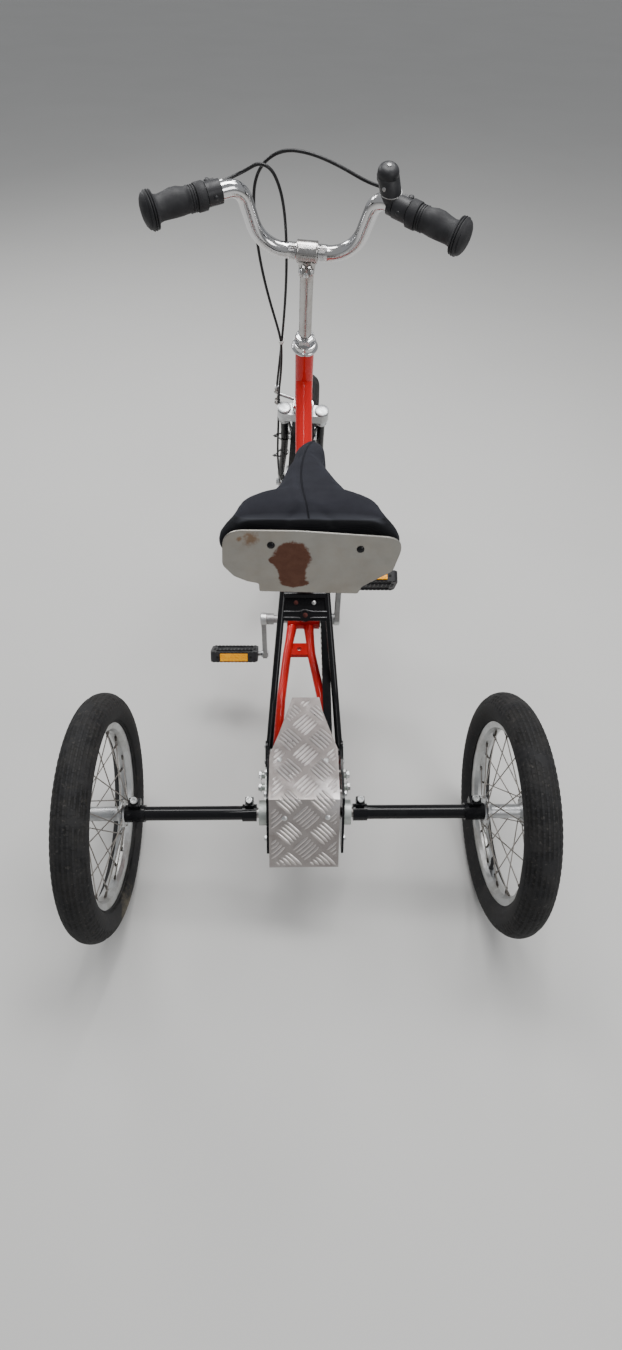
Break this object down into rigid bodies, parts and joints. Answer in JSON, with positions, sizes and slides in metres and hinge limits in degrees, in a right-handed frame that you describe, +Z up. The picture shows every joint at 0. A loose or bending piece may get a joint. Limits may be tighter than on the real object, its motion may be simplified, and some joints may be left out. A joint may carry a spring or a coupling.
{
  "type": "child's upright tricycle",
  "caption": "Upright tricycle with one steered spoked front wheel, a clamped rear axle under a tread plate cover, chain drive, padded saddle and swept handlebar.",
  "frame": {"origin": "on the floor, under the middle of the object's box", "axes": "+Y forward, +X to the rider's right, +Z up"},
  "size_m": [0.786, 1.3379, 0.9737],
  "materials": {
    "frame_paint": "gloss",
    "black_paint": "satin",
    "chrome": "polished",
    "bare_steel": "satin",
    "alloy": "satin",
    "plate_steel": "satin with rust marks",
    "tread_plate": "satin",
    "housing_grey": "satin",
    "tyre": "matte",
    "grip_rubber": "matte",
    "saddle_cover": "matte",
    "black_plastic": "satin",
    "amber": "gloss",
    "cable_sleeve": "satin"
  },
  "bodies": {
    "frame": {"main_frame": "frame_paint", "bearing_cups": "bare_steel", "seat_post": "bare_steel", "seat_collar": "black_paint", "saddle_frame": "bare_steel", "plate_bracket": "bare_steel", "saddle": "saddle_cover", "back_plate": "plate_steel", "stays": "black_paint", "side_plates": "black_paint", "bearing_housings": "housing_grey", "drive_cover": "tread_plate", "chain_guard": "black_plastic", "chain": "bare_steel"},
    "steering": {"fork": "black_paint", "fork_crown": "alloy", "front_axle": "bare_steel", "hub_brake": "alloy", "headset_nut": "chrome", "stem": "bare_steel", "handlebar": "chrome", "grips": "grip_rubber", "brake_levers": "black_plastic", "bell": "black_plastic", "caliper": "alloy", "cable_ends": "alloy", "cable_ties": "cable_sleeve", "brake_cable_left": "cable_sleeve", "brake_cable_right": "cable_sleeve"},
    "front_wheel": {"tyre_front": "tyre", "rim_front": "alloy", "hub_front": "alloy", "spokes_front": "bare_steel"},
    "rear_wheel_left": {"tyre_rear_left": "tyre", "rim_rear_left": "alloy", "hub_rear_left": "alloy", "spokes_rear_left": "bare_steel", "half_axle_left": "bare_steel", "sleeve_left": "black_paint"},
    "rear_wheel_right": {"tyre_rear_right": "tyre", "rim_rear_right": "alloy", "hub_rear_right": "alloy", "spokes_rear_right": "bare_steel", "half_axle_right": "bare_steel", "sleeve_right": "black_paint", "drive_hub": "bare_steel"},
    "crankset": {"cranks": "alloy", "chainring": "bare_steel"},
    "pedal_left": {"pedal_left": "black_plastic", "reflectors_left": "amber"},
    "pedal_right": {"pedal_right": "black_plastic", "reflectors_right": "amber"}
  },
  "joints": [
    {"name": "steering_turn", "type": "hinge", "parent": "frame", "child": "steering", "pos_m": [0, 0.27482, 0.52236], "axis": [0, -0.3518, 0.9361], "range_deg": [-55, 65]},
    {"name": "front_wheel_spin", "type": "hinge", "parent": "steering", "child": "front_wheel", "pos_m": [0.00349, 0.41979, 0.24995], "axis": [0.9962, -0.0816, -0.0307], "continuous": true},
    {"name": "rear_wheel_left_spin", "type": "hinge", "parent": "frame", "child": "rear_wheel_left", "pos_m": [-0.338, -0.46607, 0.203], "axis": [1, 0, 0], "continuous": true},
    {"name": "rear_wheel_right_spin", "type": "hinge", "parent": "frame", "child": "rear_wheel_right", "pos_m": [0.338, -0.46607, 0.203], "axis": [1, 0, 0], "continuous": true},
    {"name": "crank_spin", "type": "hinge", "parent": "frame", "child": "crankset", "pos_m": [0, -0.07407, 0.27], "axis": [1, 0, 0], "continuous": true},
    {"name": "pedal_left_spin", "type": "hinge", "parent": "crankset", "child": "pedal_left", "pos_m": [-0.079, -0.07756, 0.17006], "axis": [1, 0, 0], "continuous": true},
    {"name": "pedal_right_spin", "type": "hinge", "parent": "crankset", "child": "pedal_right", "pos_m": [0.066, -0.07058, 0.36994], "axis": [1, 0, 0], "continuous": true}
  ]
}
